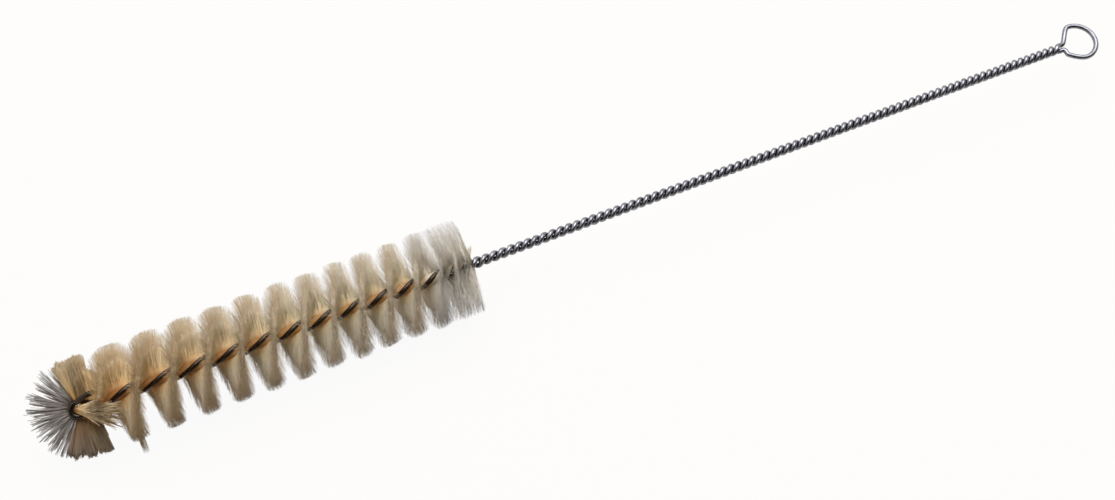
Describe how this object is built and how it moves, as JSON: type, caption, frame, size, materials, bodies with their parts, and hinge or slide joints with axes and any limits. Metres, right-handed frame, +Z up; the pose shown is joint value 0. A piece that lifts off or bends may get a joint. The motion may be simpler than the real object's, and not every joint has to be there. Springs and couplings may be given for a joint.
{
  "type": "test tube brush",
  "caption": "Test tube brush: bristles gripped in a twisted steel wire form a double spiral with a fanned tip; the bare twisted handle ends in a hanging ring.",
  "frame": {"origin": "middle of the brush's bounding box, on the surface that its bristles lie on", "axes": "+X along the brush from the bristle tip to the hanging ring, +Z up, the ring flat"},
  "size_m": [0.2902, 0.025, 0.0246],
  "materials": {
    "steel_wire": "satin",
    "bristle": "matte"
  },
  "bodies": {
    "root": {"twisted_wire": "steel_wire", "hanging_ring": "steel_wire", "bristle_spiral": "bristle", "tip_tuft": "bristle"}
  },
  "joints": []
}
